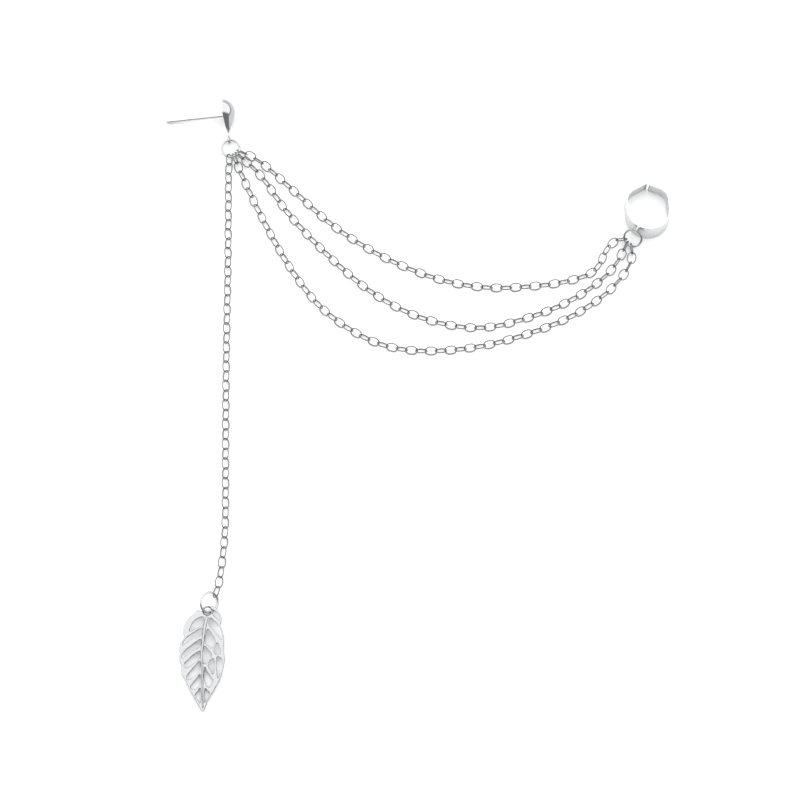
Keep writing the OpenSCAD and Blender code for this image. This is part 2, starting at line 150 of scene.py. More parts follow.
def grid_quads(rows: int, columns: int, wrap_rows: bool, wrap_columns: bool) -> np.ndarray:
    """Corner numbers of the quads of a grid of points that is stored row by row.

    Args:
        rows: Number of rows of points.
        columns: Number of points in a row.
        wrap_rows: Whether the last row joins the first.
        wrap_columns: Whether the last column joins the first.

    Returns:
        An array of n by 4 point numbers.
    """
    row_starts = np.arange(rows if wrap_rows else rows - 1)
    column_starts = np.arange(columns if wrap_columns else columns - 1)
    i, j = np.meshgrid(row_starts, column_starts, indexing="ij")
    down, right = (i + 1) % rows, (j + 1) % columns
    corners = (i * columns + j, down * columns + j, down * columns + right, i * columns + right)
    return np.stack(corners, axis=-1).reshape(-1, 4)


def closed_rows(rows: np.ndarray, wrap_rows: bool = False) -> Shape:
    """Turn rows of points, each of which runs once round, into a shape.

    Args:
        rows: An array of rows by points by 3.
        wrap_rows: Whether the last row joins the first.

    Returns:
        The points and the quads.
    """
    return rows.reshape(-1, 3), grid_quads(len(rows), rows.shape[1], wrap_rows, True)


def carry_circle(
    path: np.ndarray, first: np.ndarray, second: np.ndarray, radius: np.ndarray, sides: int
) -> np.ndarray:
    """Carry a circle along a path.

    Each point is the path's point plus the radius times (the first direction times the cosine,
    plus the second times the sine) of an angle that goes once round.

    Args:
        path: The n by 3 points of the circle's middle.
        first: Direction of the circle's first axis, one for all of the path or n by 3.
        second: Direction of its second axis, in the same way.
        radius: The n radii; 0 closes an end in a point.
        sides: Number of points round the circle.

    Returns:
        An array of n by sides by 3.
    """
    angle = np.linspace(0, FULL_TURN, sides, endpoint=False)[None, :, None]
    first, second = (np.broadcast_to(axis, path.shape)[:, None] for axis in (first, second))
    ring = first * np.cos(angle) + second * np.sin(angle)
    return path[:, None] + radius[:, None, None] * ring


def flat_wire(
    path: np.ndarray, across: np.ndarray, radius: np.ndarray, sides: int
) -> np.ndarray:
    """Points of a round wire along a flat path: a circle that stands square to the path.

    Args:
        path: The n by 3 points of the wire's middle line, all in one plane.
        across: The normal of that plane.
        radius: The n radii of the wire; 0 closes an end.
        sides: Number of points round the wire.

    Returns:
        An array of n by sides by 3.
    """
    along = np.gradient(path, axis=0)
    along /= np.maximum(np.linalg.norm(along, axis=1, keepdims=True), TINY)
    return carry_circle(path, np.cross(along, across), across, radius, sides)


def cut_end(
    at: np.ndarray, inner: np.ndarray, radius: float, soft: float
) -> tuple[np.ndarray, np.ndarray]:
    """Close one end of a wire: a pole, a flat face, and a quarter circle round its edge.

    Args:
        at: The end of the wire's middle line.
        inner: The next point of that line.
        radius: Radius of the wire.
        soft: Radius of the rounded edge.

    Returns:
        The end's points and radii, from its pole inwards.
    """
    bend = np.radians(EDGE_BEND)
    back, less = soft * (1 - np.cos(bend)), soft * (1 - np.sin(bend))
    way = (inner - at) / np.linalg.norm(inner - at)
    points = at + np.concatenate([[0.0], back])[:, None] * way
    return points, np.concatenate([[0.0], radius - less])


def cut_ends(path: np.ndarray, radius: np.ndarray, soft: float) -> tuple[np.ndarray, np.ndarray]:
    """Close the two ends of a wire with flat faces whose edges are rounded.

    Args:
        path: The n by 3 points of the wire's middle line.
        radius: The n radii.
        soft: Radius of the rounded edges.

    Returns:
        The path and the radii, with four rows more at each end.
    """
    first, first_radius = cut_end(path[0], path[1], radius[0], soft)
    last, last_radius = cut_end(path[-1], path[-2], radius[-1], soft)
    return (
        np.concatenate([first, path[1:-1], last[::-1]]),
        np.concatenate([first_radius, radius[1:-1], last_radius[::-1]]),
    )


def weld(mesh: bpy.types.Mesh) -> None:
    """Merge the points of a mesh that lie closer together than the weld distance.

    Args:
        mesh: The mesh, which is changed.
    """
    work = bmesh.new()
    work.from_mesh(mesh)
    bmesh.ops.remove_doubles(work, verts=work.verts, dist=WELD)
    work.to_mesh(mesh)
    work.free()


def put_in_scene(name: str, data: bpy.types.ID) -> bpy.types.Object:
    """Make an object of a mesh or a camera, at the origin of the scene.

    Args:
        name: The object's name.
        data: Its mesh or camera.

    Returns:
        The linked object.
    """
    made = bpy.data.objects.new(name, data)
    bpy.context.scene.collection.objects.link(made)
    return made


def solid_piece(name: str, points: np.ndarray, quads: np.ndarray) -> bpy.types.Object:
    """Make a closed smooth mesh object at the origin from points in millimetres.

    Rows that fall together in one point are merged there, so that poles are closed. The faces
    are turned over where the signed volume (a third of each face's middle times its area
    vector, summed) comes out below zero, so that they point outwards.

    Args:
        name: The object's name.
        points: An array of n by 3 points.
        quads: An array of m by 4 point numbers.

    Returns:
        The linked object.
    """
    corners = points[quads]
    area = np.cross(corners[:, 2] - corners[:, 0], corners[:, 3] - corners[:, 1]) / 2
    if (corners.mean(1) * area).sum() < 0:
        quads = quads[:, ::-1]
    mesh = bpy.data.meshes.new(name)
    mesh.from_pydata((points * MM).tolist(), [], quads.tolist())
    weld(mesh)
    mesh.shade_smooth()
    return put_in_scene(name, mesh)


def node_triangles(node: str) -> tuple[np.ndarray, np.ndarray]:
    """Read the mesh of a CAD node, whose triangles are loose, and join them at their corners.

    Args:
        node: The node's name.

    Returns:
        The points in millimetres, n by 3, and the triangles' point numbers, m by 3.
    """
    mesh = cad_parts[node].data
    mesh.calc_loop_triangles()
    points = np.zeros(len(mesh.vertices) * 3, np.float32)
    mesh.vertices.foreach_get("co", points)
    corners = np.zeros(len(mesh.loop_triangles) * 3, np.int32)
    mesh.loop_triangles.foreach_get("vertices", corners)
    points = points.reshape(-1, 3).astype(float) / MM
    _, first, same = np.unique(
        np.round(points, SAME_DECIMALS), axis=0, return_index=True, return_inverse=True
    )
    return points[first], same.reshape(-1)[corners].reshape(-1, 3)


def loose_parts(count: int, triangles: np.ndarray) -> np.ndarray:
    """Number of the loose part that each point belongs to.

    Every point starts with its own label. Each step gives a triangle's points its lowest label
    and then jumps to that label's label, until nothing changes.

    Args:
        count: Number of points.
        triangles: Point numbers, n by 3.

    Returns:
        One part number, from 0 up, for each point.
    """
    label = np.arange(count)
    while True:
        low = label[triangles].min(1)
        new = label.copy()
        np.minimum.at(new, triangles.reshape(-1), np.repeat(low, 3))
        new = new[new]
        if (new == label).all():
            return np.unique(label, return_inverse=True)[1].reshape(-1)
        label = new


# Finishes


class Metal(Enum):
    """The four ways in which the earring's plated metal was finished."""

    BUFFED = "buffed"
    TUMBLED = "tumbled"
    ROLLED = "rolled"
    CAST = "cast"


@dataclass(frozen=True)
class PlatedMetal:
    """Silver-plated brass: a neutral grey metal whose sheen depends on how it was finished."""

    name: str
    colour: str
    roughness: float
    roughness_spread: float
    grain_mm: float
    grain_bump_mm: float
    # colour of painted shade on a piece's steep walls; none if empty
    painted_shade_colour: str = ""

    def material(self) -> bpy.types.Material:
        """Build the material: one metal whose roughness and skin vary with fine noise.

        Where the finish has a painted shade colour, the piece's attribute mixes it in as painted
        shade, darkest on the steep walls.

        Returns:
            The new material.
        """
        made = bpy.data.materials.new(self.name)
        made.use_nodes = True
        tree = made.node_tree
        tree.nodes.clear()
        place = add_node(tree, "TexCoord", {}, {}).outputs["Object"]
        grain = add_node(
            tree,
            "TexNoise",
            {"Scale": 1 / (self.grain_mm * MM), "Detail": 3.0, "Roughness": 0.6},
            {"Vector": place},
        )
        sheen = add_node(
            tree,
            "MapRange",
            {
                "From Min": NOISE_SPAN[0],
                "From Max": NOISE_SPAN[1],
                "To Min": self.roughness - self.roughness_spread,
                "To Max": self.roughness + self.roughness_spread,
            },
            {"Value": grain.outputs["Fac"]},
        )
        skin = add_node(
            tree,
            "Bump",
            {"Strength": 1.0, "Distance": self.grain_bump_mm * MM},
            {"Height": grain.outputs["Fac"]},
        )
        body = add_node(
            tree,
            "BsdfPrincipled",
            {"Base Color": to_linear(self.colour), "Metallic": 1.0},
            {"Roughness": sheen.outputs["Result"], "Normal": skin.outputs["Normal"]},
        )
        # Painted shade: the shade colour is mixed into the metal by the attribute, darkest on
        # steep walls
        if self.painted_shade_colour:
            painted_wall_shade = add_node(tree, "Attribute", {"attribute_name": PAINTED_SHADE}, {}).outputs["Fac"]
            mixed = add_node(
                tree,
                "MixRGB",
                {"Color1": to_linear(self.colour), "Color2": to_linear(self.painted_shade_colour)},
                {"Fac": painted_wall_shade},
            )
            tree.links.new(mixed.outputs["Color"], body.inputs["Base Color"])
        add_node(tree, "OutputMaterial", {}, {"Surface": body.outputs["BSDF"]})
        return made


FINISHES = {
    # Buffed on a wheel: sharp reflections, hardly any grain
    Metal.BUFFED: PlatedMetal(
        "buffed_silver_plate",
        colour="#ACADAF",
        roughness=0.12,
        roughness_spread=0.04,
        grain_mm=0.5,
        grain_bump_mm=0.0004,
    ),
    # Tumbled with steel shot: a greyer plate, with a softer edge to the reflections
    Metal.TUMBLED: PlatedMetal(
        "tumbled_silver_plate",
        colour="#747577",
        roughness=0.18,
        roughness_spread=0.05,
        grain_mm=0.25,
        grain_bump_mm=0.0006,
    ),
    # Rolled strip and drawn rod, plated without a buff: pale and satin
    Metal.ROLLED: PlatedMetal(
        "rolled_silver_plate",
        colour="#CCCDCF",
        roughness=0.3,
        roughness_spread=0.06,
        grain_mm=0.3,
        grain_bump_mm=0.001,
    ),
    # Cast and then plated: the skin of the mould softens what it mirrors, and a near black
    # painted shade darkens the walls of the gaps
    Metal.CAST: PlatedMetal(
        "cast_silver_plate",
        colour="#A6A7A9",
        roughness=0.24,
        roughness_spread=0.07,
        grain_mm=0.18,
        grain_bump_mm=0.003,
        # near black painted shade for the steep walls of the gaps
        painted_shade_colour="#0F1011",
    ),
}


def dress(piece: bpy.types.Object, metal: Metal, slot: str, *nodes: str) -> None:
    """Give a piece its finish and its body, and put it in the place of CAD nodes.

    Args:
        piece: The finished piece.
        metal: How its metal was finished.
        slot: Name of its material slot; not used.
        *nodes: The CAD nodes that it replaces, if any.
    """
    finish = FINISHES[metal]
    made = bpy.data.materials.get(finish.name) or finish.material()
    piece.data.materials.clear()
    piece.data.materials.append(made)
    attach(piece, "root")
    if nodes:
        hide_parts(*nodes)
    LOG.info("%s: %d faces, %s", piece.name, len(piece.data.polygons), finish.name)


# Chains


@dataclass
class CableChain:
    """A cable chain: oval links of round wire, each a quarter turn on from the one before."""

    node: str
    pitch: float = 1.96
    width: float = 1.95
    wire: float = 0.26
    gap: float = 0.12  # between the wires of two links, where one holds the next
    seam: float = 0.05  # half the length over which the wire is drawn in at its closed ends
    seam_depth: float = 0.03
    bend_steps: int = 6
    sides: int = 6

    def link(self) -> np.ndarray:
        """Points of one link, its long way along X and its width along Y.

        The middle line is two half circles joined by two straight stretches, and the wire is a
        circle about it. Three rows close together on one straight stretch draw the wire in
        where its two ends were closed.

        Returns:
            An array of rows by sides by 3.
        """
        bend = (self.width - self.wire) / 2
        half = (self.pitch + 2 * self.wire + self.gap - self.width) / 2
        turn = np.linspace(-math.pi / 2, math.pi / 2, self.bend_steps + 1)
        right = np.stack([half + bend * np.cos(turn), bend * np.sin(turn), 0 * turn], axis=1)
        right_way = np.stack([-np.sin(turn), np.cos(turn), 0 * turn], axis=1)
        seam_x = np.array([self.seam, 0.0, -self.seam])
        seam = np.stack([seam_x, np.full(len(seam_x), bend), 0 * seam_x], axis=1)
        seam_way = np.tile(-ALONG_X, (len(seam), 1))
        path = np.concatenate([right, seam, -right])
        along = np.concatenate([right_way, seam_way, -right_way])
        # A subdivided ring of points shrinks towards its middle by a known share, which is added
        shrink = (3 + math.cos(FULL_TURN / self.sides)) / 4
        radius = np.full(len(path), self.wire / 2 / shrink)
        radius[len(right) + 1] -= self.seam_depth
        return carry_circle(path, np.cross(along, UP), UP, radius, self.sides)

    def places(self) -> tuple[np.ndarray, np.ndarray]:
        """Middles and axes of the CAD node's links.

        A link's axes are those of its surface's spread: the sum of (triangle area times the
        outer product of its middle's offset), longest first. Its middle is half way between
        its ends along each axis.

        Returns:
            Middles, n by 3, and axes, n by 3 by 3, an axis a row.
        """
        points, triangles = node_triangles(self.node)
        part = loose_parts(len(points), triangles)
        count = part.max() + 1
        corners = points[triangles]
        first_edge, last_edge = corners[:, 1] - corners[:, 0], corners[:, 2] - corners[:, 0]
        area = np.linalg.norm(np.cross(first_edge, last_edge), axis=1)
        middle, owner = corners.mean(1), part[triangles[:, 0]]
        weight = np.bincount(owner, area, count)
        sums = [np.bincount(owner, area * middle[:, axis], count) for axis in range(3)]
        mean = np.stack(sums, axis=1) / weight[:, None]
        off = middle - mean[owner]
        spread = np.zeros((count, 3, 3))
        np.add.at(spread, owner, area[:, None, None] * off[:, :, None] * off[:, None, :])
        axes = np.linalg.eigh(spread)[1].transpose(0, 2, 1)[:, ::-1].copy()
        axes[:, 2] = np.cross(axes[:, 0], axes[:, 1])
        local = np.einsum("nij,nj->ni", axes[part], points - mean[part])
        low, high = np.full((count, 3), np.inf), np.full((count, 3), -np.inf)
        np.minimum.at(low, part, local)
        np.maximum.at(high, part, local)
        return mean + np.einsum("nji,nj->ni", axes, (low + high) / 2), axes

    def build(self) -> None:
        """Put a finer link in the place of each CAD link, all in one mesh."""
        shape, quads = closed_rows(self.link(), wrap_rows=True)
        middles, axes = self.places()
        points = middles[:, None] + np.einsum("pi,nij->npj", shape, axes)
        starts = np.arange(len(middles))[:, None, None] * len(shape)
        all_quads = (quads[None] + starts).reshape(-1, 4)
        piece = solid_piece(self.node + "_links", points.reshape(-1, 3), all_quads)
        smooth = piece.modifiers.new("round_wire", "SUBSURF")
        smooth.levels = smooth.render_levels = 1
        dress(piece, Metal.TUMBLED, "chain_metal", self.node)


# Rings


@dataclass
class JumpRing:
    """A ring of round wire, cut through once and closed again."""

    node: str
    outer: float
    angles: tuple[float, float, float]
    cut_at: float  # degrees round the ring
    wire: float = 0.45
    cut: float = 0.12
    edge: float = 0.05  # radius of the cut's rounded edges
    steps: int = 72
    sides: int = 18

    def build(self) -> None:
        """Carry the wire's circle round the ring from one side of the cut to the other."""
        low, high = (np.array(corner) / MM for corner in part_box(self.node))
        place = Place(tuple((low + high) / 2), self.angles)
        line = (self.outer - self.wire) / 2
        half = math.degrees(self.cut / 2 / line)
        turn = np.radians(np.linspace(self.cut_at + half, self.cut_at + 360 - half, self.steps))
        path = np.stack([line * np.cos(turn), line * np.sin(turn), 0 * turn], axis=1)
        path, radius = cut_ends(path, np.full(self.steps, self.wire / 2), self.edge)
        points, quads = closed_rows(flat_wire(path, UP, radius, self.sides))
        piece = solid_piece(self.node + "_wire", place.put(points), quads)
        dress(piece, Metal.BUFFED, "ring_metal", self.node)


# Stud


@dataclass
class EarStud:
    """The stud: a head that is a drop cut flat at the back, its post, and an eye on a neck.

    In its own frame the post runs along -X from the back of the head at the origin, and the
    neck runs along -Y.
    """

    post_root: tuple[float, float] = (-38.25, 57.6)
    yaw: float = 3
    post_len: float = 12.3
    post_d: float = 0.8
    head_d: float = 5.2
    head_sink: float = 0.6  # from the flat back to the middle of the head's circle, behind it
    head_rise: float = 0.8  # from the post up to that middle
    head_taper: float = 3.6
    head_tip_d: float = 0.9
    head_tip_lift: float = 0.9
    neck_d: float = 0.36
    eye_drop: float = 5
    eye_hole: float = 0.86
    eye_wire: float = 0.4
    swag_rest: float = 0.8958  # height at which the top chain's first link and the eye rest
    rim_soft: float = 0.12
    rim_steps: int = 3
    rim_angle: float = 40  # degrees; only a sharper edge is softened
    solder: float = 0.18
    root_depth: float = 0.3  # how far the post goes into the head
    flare: float = 0.5  # share by which solder widens the neck at its two ends
    flare_len: float = 0.12
    arc_steps: int = 40
    taper_steps: int = 14
    tip_steps: int = 14
    head_steps: int = 49
    back_steps: int = 13
    bend_steps: int = 8
    post_steps: int = 30
    post_sides: int = 28
    neck_steps: int = 20
    eye_steps: int = 40
    wire_sides: int = 16

    @property
    def neck_x(self) -> float:
        """How far the neck stands in front of the flat back."""
        return self.head_tip_lift - self.head_sink

    @property
    def eye_line(self) -> float:
        """Radius of the middle line of the eye's wire."""
        return (self.eye_hole + self.eye_wire) / 2

    def place(self) -> Place:
        """Where the stud lies: on the rim of its head, the end of its post and its ring.

        The roll follows from the tilt and the tilt from the roll, so each is worked out twice.

        Returns:
            The place of the post's root, and how the stud is turned there.
        """
        r = self.head_d / 2
        rim = math.sqrt(r * r - self.head_sink**2)

        def roll_at(tilt: float) -> float:
            """Roll at which the eye comes to the ring's height."""
            rise = rim + self.neck_x * math.tan(tilt) - self.swag_rest / math.cos(tilt)
            return math.asin(rise / (self.head_rise + self.eye_drop))

        def tilt_at(roll: float) -> float:
            """Tilt at which the end of the post meets the floor."""
            fall = rim - self.head_rise * math.sin(roll) - self.post_d / 2
            return math.atan(fall / (self.post_len - self.post_d / 2))

        roll = roll_at(tilt_at(roll_at(0)))
        tilt = tilt_at(roll)
        z = (rim - self.head_rise * math.sin(roll)) * math.cos(tilt)
        return Place((*self.post_root, z), (math.degrees(roll), -math.degrees(tilt), self.yaw))

    def head(self) -> Shape:
        """Points and quads of the head, in the stud's own frame.

        The head is a profile turned about a slanting axis: a circle arc, a straight taper and a
        small round tip. A row is the part of the circle at one depth along the axis that lies
        in front of the flat back, followed by the straight way back across it.

        Returns:
            The points and the quads.
        """
        r, tip = self.head_d / 2, self.head_tip_d / 2
        drop = math.hypot(self.head_taper, self.head_tip_lift)
        lean = math.asin((r - tip) / drop)
        way = np.array([self.head_tip_lift, -self.head_taper, 0]) / drop
        front = np.array([self.head_taper, self.head_tip_lift, 0]) / drop
        middle = np.array([-self.head_sink, self.head_rise, 0])

        # The arc starts where it first comes in front of the back plane
        start = -math.acos(self.head_sink / r) - math.atan2(way[0], front[0])
        arc = np.linspace(start, lean, self.arc_steps)
        taper = np.linspace(0, 1, self.taper_steps)[1:-1]
        end = np.linspace(lean, math.pi / 2, self.tip_steps)
        depth, radius = (
            np.concatenate([wide, wide[-1] + taper * (small[0] - wide[-1]), small])
            for wide, small in (
                (r * np.sin(arc), drop + tip * np.sin(end)),
                (r * np.cos(arc), tip * np.cos(end)),
            )
        )

        axis = middle + depth[:, None] * way
        half = np.arccos(np.clip(-axis[:, 0] / np.maximum(radius * front[0], TINY), -1, 1))
        angle = np.linspace(-1, 1, self.head_steps)[None] * half[:, None]
        ring = np.cos(angle)[..., None] * front + np.sin(angle)[..., None] * UP
        rows = axis[:, None] + radius[:, None, None] * ring
        rows[..., 0] = np.maximum(rows[..., 0], 0)
        share = np.linspace(1, -1, self.back_steps)[1:-1, None]
        back = rows[:, -1:] * (1 + share) / 2 + rows[:, :1] * (1 - share) / 2
        return closed_rows(np.concatenate([rows, back], axis=1))

    def post(self) -> Shape:
        """Points and quads of the post.

        A circle carried along -X, from inside the head to a half round end, widened at the root
        by a quarter circle of solder.

        Returns:
            The points and the quads.
        """
        r = self.post_d / 2
        bend = np.radians(np.linspace(0, 90, self.bend_steps))
        root_x = -self.solder * (1 - np.sin(bend[::-1]))
        root_r = r + self.solder * (1 - np.cos(bend[::-1]))
        body = np.linspace(-self.solder, -self.post_len + r, self.post_steps)[1:]
        end_x, end_r = -self.post_len + r - r * np.sin(bend[1:]), r * np.cos(bend[1:])
        x = np.concatenate([[self.root_depth] * 2, root_x, body, end_x])
        radius = np.concatenate([[0.0, root_r[0]], root_r, np.full(len(body), r), end_r])
        path = x[:, None] * ALONG_X
        return closed_rows(carry_circle(path, ALONG_Y, UP, radius, self.post_sides))

    def neck(self) -> Shape:
        """Points and quads of the neck.

        A circle carried along -Y, wider by a bell curve where it leaves the tip and where it
        meets the eye.

        Returns:
            The points and the quads.
        """
        top = self.head_rise - self.head_taper
        bottom = -self.eye_drop + self.eye_line
        y = np.linspace(top, bottom, self.neck_steps)
        ends = (top - self.head_tip_d / 2, bottom)
        flare = sum(np.exp(-(((y - end) / self.flare_len) ** 2)) for end in ends)
        radius = self.neck_d / 2 * (1 + self.flare * flare)
        y = np.concatenate([y[:1], y, y[-1:]])
        radius = np.concatenate([[0.0], radius, [0.0]])
        path = self.neck_x * ALONG_X + y[:, None] * ALONG_Y
        return closed_rows(carry_circle(path, ALONG_X, UP, radius, self.wire_sides))

    def eye(self) -> Shape:
        """Points and quads of the eye: a wire's circle carried once round in the YZ plane.

        Returns:
            The points and the quads.
        """
        turn = np.linspace(0, FULL_TURN, self.eye_steps, endpoint=False)[:, None]
        out = ALONG_Y * np.cos(turn) + UP * np.sin(turn)
        path = self.neck_x * ALONG_X - self.eye_drop * ALONG_Y + self.eye_line * out
        radius = np.full(self.eye_steps, self.eye_wire / 2)
        rows = carry_circle(path, out, ALONG_X, radius, self.wire_sides)
        return closed_rows(rows, wrap_rows=True)

    def build(self) -> None:
        """Make the head, the post, the neck and the eye, each a closed piece on the stud."""
        place = self.place()
        shapes = {"head": self.head(), "post": self.post(), "neck": self.neck(), "eye": self.eye()}
        for name, (points, quads) in shapes.items():
            piece = solid_piece("ear_stud_" + name, place.put(points), quads)
            if name == "head":
                soft = piece.modifiers.new("soft_rim", "BEVEL")
                soft.width, soft.segments = self.rim_soft * MM, self.rim_steps
                soft.limit_method, soft.angle_limit = "ANGLE", math.radians(self.rim_angle)
            metal = Metal.ROLLED if name == "post" else Metal.BUFFED
            dress(piece, metal, "stud_metal", *(("ear_stud",) if name == "head" else ()))


# Cuff


@dataclass
class EarCuff:
    """The cuff: a sprung band, open at its peak, with a wire loop soldered on its outer face.

    In its own frame the middle of the band's round part is the origin and the peak is at +Y.
    """

    at: tuple[float, float] = (46.1, 37.1)
    yaw: float = 3
    bore: float = 7.9
    wall: float = 0.45
    tall: float = 4.8  # height of the band at the far end of its round part
    low: float = 2.6  # height of the band at its peak
    side: float = 2.25  # length of a straight side
    shoulder: float = 3.0  # outer radius between a side and a flat
    flat_angle: float = 26  # degrees by which a flat falls away from the peak
    opening: float = 0.35
    opening_off: float = 0.4  # from the peak to the middle of the opening
    loop_hole: float = 1.6
    loop_wire: float = 0.4
    loop_angle: float = -124  # degrees round the band
    loop_rise: float = 1.0
    loop_sink: float = 0.15  # how deep the loop's ends go into the band
    loop_edge: float = 0.05
    solder: float = 0.35  # share by which solder widens the loop near its ends
    solder_at: float = 12  # degrees from the loop's ends
    solder_span: float = 9
    soft: float = 0.1  # radius of the band's long edges
    end_soft: float = 0.07  # the same at its two ends
    end_step: float = 0.3  # share of that radius at which an end has its middle row
    end_shrink: float = 0.6  # size of the row inside an end's face, which steadies its shading
    peak_soft: float = 0.08
    row_clear: float = 0.25  # least distance of a flat's rows from the opening and the peak
    near_steps: int = 12
    far_steps: int = 14
    shoulder_steps: int = 18
    side_steps: int = 10
    round_steps: int = 40
    edge_steps: int = 5
    loop_steps: int = 40
    loop_sides: int = 16

    @property
    def out(self) -> float:
        """Outer radius of the band's round part."""
        return self.bore / 2 + self.wall

    @property
    def peak(self) -> float:
        """Distance from the middle of the round part to the peak at the opening."""
        lean = math.radians(self.flat_angle)
        over = self.shoulder + (self.out - self.shoulder) * math.sin(lean)
        return self.side + over / math.cos(lean)

    @property
    def slope(self) -> float:
        """Change of the band's height for each millimetre towards the opening."""
        return (self.low - self.tall) / (self.peak + self.out)

    @property
    def middle_tall(self) -> float:
        """Height of the band beside the middle of the round part."""
        return self.tall + self.slope * self.out

    def place(self) -> Place:
        """Where the cuff lies: on its lower rim, tipped by half of the band's taper."""
        tip = math.atan(-self.slope / 2)
        z = self.middle_tall / 2 * math.cos(tip)
        return Place((*self.at, z), (-math.degrees(tip), 0, self.yaw))

    def flat_rows(self, xs: np.ndarray) -> np.ndarray:
        """Points of the two flats, n by 2, at n distances beside the peak."""
        fall = np.abs(xs) * math.tan(math.radians(self.flat_angle))
        return np.stack([xs, self.peak - fall], axis=1)

    def outline(self) -> tuple[np.ndarray, np.ndarray, np.ndarray]:
        """Outer line of the band from one end round to the other, and how each row goes inwards.

        A flat, a shoulder arc and a straight side, a half circle, and the same three mirrored.
        The opening lies beside the peak, so the last flat goes over the peak. A row goes along
        its outward normal. At the opening and at the peak it goes along the opening's own
        sides, where the wall is thicker by one over the cosine of the flat's angle.

        Returns:
            Points, n by 2, ways out for one millimetre of depth, n by 2, and each row's inset.
        """
        lean = math.radians(self.flat_angle)
        centre = np.array([self.out - self.shoulder, self.side])
        normal = np.array([math.sin(lean), math.cos(lean)])
        upright = np.array([0.0, 1 / math.cos(lean)])
        corner = centre[0] + self.shoulder * normal[0]
        near, far = self.opening_off + self.opening / 2, self.opening_off - self.opening / 2
        ease = self.end_soft * np.array([1.0, self.end_step, 0.0])
        near_end = self.flat_rows(near + ease[::-1])
        near_flat = self.flat_rows(np.linspace(near + self.row_clear, corner, self.near_steps))
        far_flat = self.flat_rows(-np.linspace(corner, self.row_clear, self.far_steps))
        over_peak = self.flat_rows(np.array([-self.peak_soft, self.peak_soft]))
        far_end = self.flat_rows(far - ease)

        turn = np.linspace(math.pi / 2 - lean, 0, self.shoulder_steps)[1:]
        arc_n = np.stack([np.cos(turn), np.sin(turn)], axis=1)
        y = np.linspace(self.side, 0, self.side_steps)[1:]
        straight = np.stack([0 * y + self.out, y], axis=1)
        half = np.linspace(0, -math.pi / 2, self.round_steps)[1:]
        round_n = np.stack([np.cos(half), np.sin(half)], axis=1)
        side = np.concatenate([centre + self.shoulder * arc_n, straight, self.out * round_n])
        side_n = np.concatenate([arc_n, np.tile([1.0, 0.0], (len(y), 1)), round_n])
        mirror = np.array([-1.0, 1.0])
        parts = [
            (near_end, upright, ease),
            (near_flat, normal, 0.0),
            (side, side_n, 0.0),
            (side[-2::-1] * mirror, side_n[-2::-1] * mirror, 0.0),
            (far_flat, normal * mirror, 0.0),
            (over_peak, upright, 0.0),
            (far_end, upright, ease[::-1]),
        ]
        return (
            np.concatenate([line for line, _, _ in parts]),
            np.concatenate([np.broadcast_to(way, line.shape) for line, way, _ in parts]),
            np.concatenate([np.broadcast_to(inset, len(line)) for line, _, inset in parts]),
        )

    def section(self) -> tuple[np.ndarray, np.ndarray, np.ndarray]:
        """Rounded rectangle round the band's wall, with a quarter circle at each corner.

        Returns:
            For each point the depth below the outer face in millimetres, the share of the
            band's half height, and the inset from that height in millimetres.
        """
        bend = np.radians(np.linspace(0, 90, self.edge_steps))
        start, end = self.soft * (1 - np.cos(bend)), self.soft * (1 - np.sin(bend))
        depth = np.concatenate([start, self.wall - end, self.wall - start, end])
        inset = np.concatenate([end, start, end, start])
        share = np.repeat([1.0, 1.0, -1.0, -1.0], self.edge_steps)
        return depth, share, inset

    def band(self) -> Shape:
        """Points and quads of the band.

        Each row is the section at one point of the outline: the point less the depth times the
        way out, at a height of the share times the band's half height there, less the inset.
        The rows at the two ends keep their own inset from all four faces, which rounds the
        ends' edges, and then shrink to a point, which closes them.

        Returns:
            The points and the quads.
        """
        line, way, ease = self.outline()
        depth, share, inset = self.section()
        kept = np.clip(depth[None], ease[:, None], self.wall - ease[:, None])
        flat = line[:, None] - kept[..., None] * way[:, None]
        half = (self.middle_tall + self.slope * flat[..., 1]) / 2
        z = share[None] * (half - np.maximum(inset[None], ease[:, None]))
        rows = np.concatenate([flat, z[..., None]], axis=2)
        middle = rows.mean(1, keepdims=True)
        shrink = (0.0, self.end_shrink)
        first = [middle[:1] + size * (rows[:1] - middle[:1]) for size in shrink]
        last = [middle[-1:] + size * (rows[-1:] - middle[-1:]) for size in shrink[::-1]]
        return closed_rows(np.concatenate([*first, rows, *last]))

    def loop(self) -> Shape:
        """Points and quads of the soldered loop.

        A wire's circle is carried round an open arc that stands upright on the band: the middle
        plus the line's radius times (way out times the cosine, plus up times the sine). A bell
        curve of solder widens it near its ends.

        Returns:
            The points and the quads.
        """
        way = math.radians(self.loop_angle)
        line = (self.loop_hole + self.loop_wire) / 2
        end = 90 + math.degrees(math.asin(self.loop_sink / line))
        turn = np.linspace(-end, end, self.loop_steps)
        out = np.array([math.cos(way), math.sin(way), 0])
        side = np.array([-math.sin(way), math.cos(way), 0])
        cosine, sine = np.cos(np.radians(turn))[:, None], np.sin(np.radians(turn))[:, None]
        path = self.out * out + self.loop_rise * UP + line * (cosine * out + sine * UP)
        foot = np.exp(-(((end - np.abs(turn) - self.solder_at) / self.solder_span) ** 2))
        radius = self.loop_wire / 2 * (1 + self.solder * foot)
        path, radius = cut_ends(path, radius, self.loop_edge)
        return closed_rows(flat_wire(path, side, radius, self.loop_sides))

    def build(self) -> None:
        """Make the band and its loop."""
        place = self.place()
        for name, (points, quads) in {"band": self.band(), "loop": self.loop()}.items():
            piece = solid_piece("ear_cuff_" + name, place.put(points), quads)
            dress(piece, Metal.ROLLED, "cuff_metal", *(("ear_cuff",) if name == "band" else ()))


# Leaf


